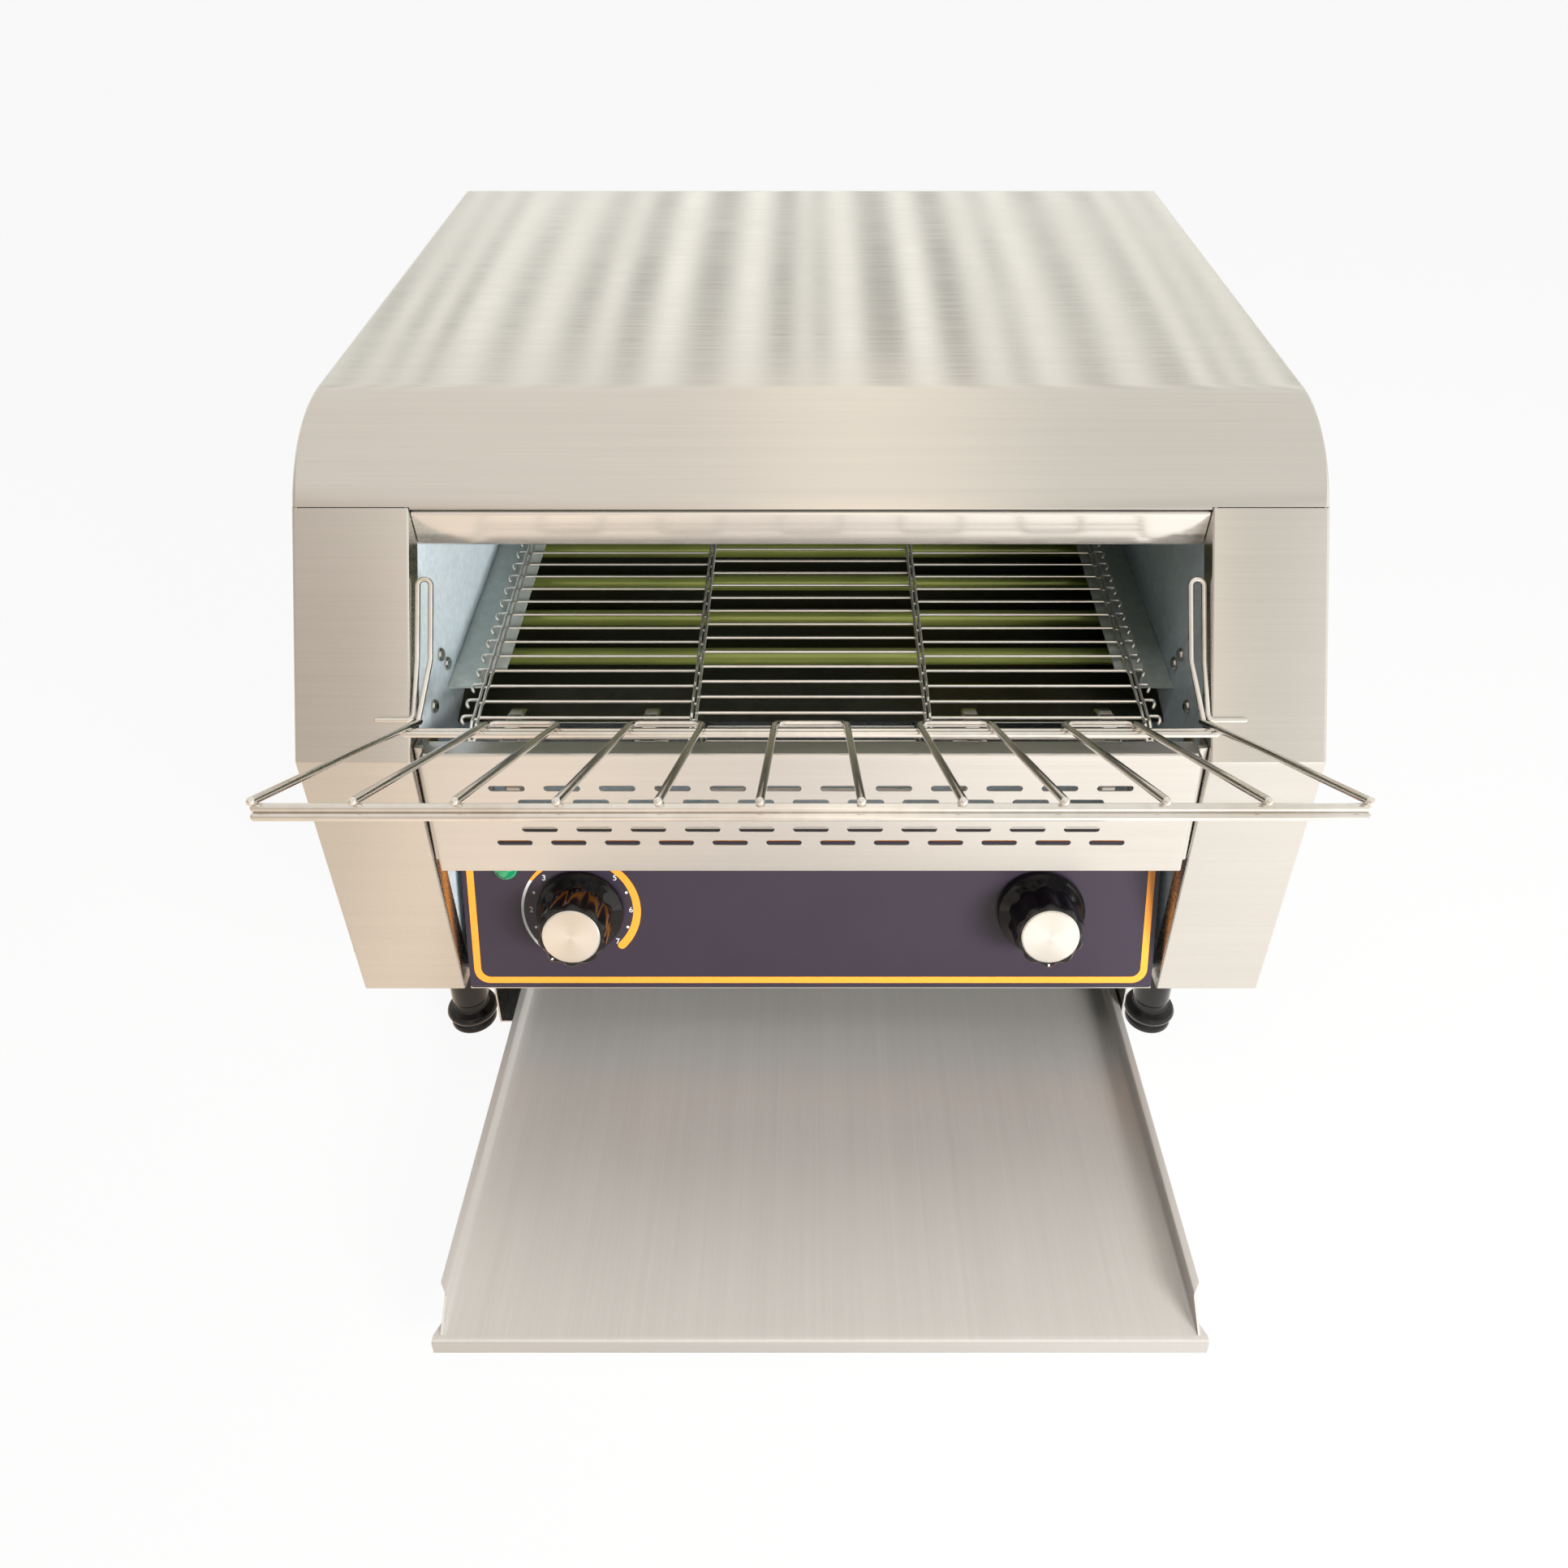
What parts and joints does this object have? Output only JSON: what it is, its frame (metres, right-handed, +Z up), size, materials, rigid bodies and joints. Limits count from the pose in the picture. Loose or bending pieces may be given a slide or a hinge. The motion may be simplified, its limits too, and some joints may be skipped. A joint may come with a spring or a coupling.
{
  "type": "conveyor toaster",
  "caption": "Countertop conveyor toaster: stainless hood and columns, wire belt between heater tubes, wire loading rack, slotted guard, black control panel and pull-out toast tray.",
  "frame": {"origin": "on the counter, under the middle of the whole object's box, tray and rack included", "axes": "+Z up, -Y towards the person who loads the bread, +X to that person's right"},
  "size_m": [0.473, 0.578, 0.3863],
  "materials": {
    "steel": "brushed",
    "mirror_steel": "polished",
    "zinc": "galvanised",
    "wire": "polished wire",
    "belt_wire": "drawn stainless wire",
    "black_plastic": "glossy",
    "dark_plastic": "matte",
    "overlay": "printed film",
    "aluminium": "spun",
    "quartz": "quartz tube",
    "ceramic": "unglazed",
    "lamp_green": "green lens",
    "bronze": "sintered",
    "motor_paint": "satin",
    "rubber": "glossy black"
  },
  "bodies": {
    "cabinet": {"top_hood": "steel", "left_side_panel": "steel", "right_side_panel": "steel", "left_front_column": "steel", "right_front_column": "steel", "rear_panel": "steel", "base_plate": "zinc", "upper_lip": "mirror_steel", "vent_guard": "steel", "control_panel": "steel", "panel_overlay": "overlay", "left_inner_wall": "zinc", "right_inner_wall": "zinc", "upper_reflector": "zinc", "lower_reflector": "zinc", "heat_shield": "zinc", "toast_chute": "steel", "upper_heaters": "quartz", "lower_heaters": "quartz", "heater_caps": "ceramic", "left_belt_rail": "zinc", "right_belt_rail": "zinc", "conveyor_belt": "belt_wire", "shaft_bushes": "bronze", "gear_motor": "motor_paint", "motor_spacers": "zinc", "fan_frame": "dark_plastic", "speed_control": "zinc", "mode_switch": "dark_plastic", "lamp_body": "dark_plastic", "lamp_lens": "lamp_green", "tray_runners": "steel", "foot_stems": "black_plastic", "cable_gland": "dark_plastic", "terminal_block": "ceramic", "case_screws": "steel", "wall_screws": "steel"},
    "drive": {"drive_shaft": "steel", "drive_sprockets": "steel"},
    "idler": {"idler_shaft": "steel", "idler_rollers": "steel"},
    "fan": {"fan_rotor": "dark_plastic"},
    "speed": {"speed_spindle": "steel", "speed_knob": "black_plastic", "speed_knob_cap": "aluminium"},
    "mode": {"mode_spindle": "steel", "mode_knob": "black_plastic", "mode_knob_cap": "aluminium"},
    "rack": {"loading_rack": "wire"},
    "tray": {"toast_tray": "steel"},
    "foot_front_left": {"front_left_pad": "rubber"},
    "foot_front_right": {"front_right_pad": "rubber"},
    "foot_rear_left": {"rear_left_pad": "rubber"},
    "foot_rear_right": {"rear_right_pad": "rubber"}
  },
  "joints": [
    {"name": "drive_spin", "type": "hinge", "parent": "cabinet", "child": "drive", "pos_m": [0, 0.17517, 0.23569], "axis": [1, 0, 0], "continuous": true},
    {"name": "idler_spin", "type": "hinge", "parent": "cabinet", "child": "idler", "pos_m": [0, -0.108, 0.1974], "axis": [1, 0, 0], "continuous": true},
    {"name": "fan_spin", "type": "hinge", "parent": "cabinet", "child": "fan", "pos_m": [-0.07, 0.012, 0.069], "axis": [0, 0, 1], "continuous": true},
    {"name": "speed_turn", "type": "hinge", "parent": "cabinet", "child": "speed", "pos_m": [-0.118, -0.11598, 0.10354], "axis": [0, -0.9681, 0.2504], "range_deg": [-270, 0]},
    {"name": "mode_turn", "type": "hinge", "parent": "cabinet", "child": "mode", "pos_m": [0.118, -0.11598, 0.10354], "axis": [0, -0.9681, 0.2504], "range_deg": [-270, 0]},
    {"name": "rack_lift", "type": "slide", "parent": "cabinet", "child": "rack", "axis": [0, -0.8805, 0.4741], "range_m": [0, 0.12]},
    {"name": "tray_slide", "type": "slide", "parent": "cabinet", "child": "tray", "axis": [0, -1, 0], "range_m": [-0.06, 0.2]},
    {"name": "foot_front_left_turn", "type": "hinge", "parent": "cabinet", "child": "foot_front_left", "pos_m": [-0.1923, -0.094, 0], "axis": [0, 0, 1], "range_deg": [-180, 180]},
    {"name": "foot_front_right_turn", "type": "hinge", "parent": "cabinet", "child": "foot_front_right", "pos_m": [0.1923, -0.094, 0], "axis": [0, 0, 1], "range_deg": [-180, 180]},
    {"name": "foot_rear_left_turn", "type": "hinge", "parent": "cabinet", "child": "foot_rear_left", "pos_m": [-0.1923, 0.237, 0], "axis": [0, 0, 1], "range_deg": [-180, 180]},
    {"name": "foot_rear_right_turn", "type": "hinge", "parent": "cabinet", "child": "foot_rear_right", "pos_m": [0.1923, 0.237, 0], "axis": [0, 0, 1], "range_deg": [-180, 180]}
  ]
}
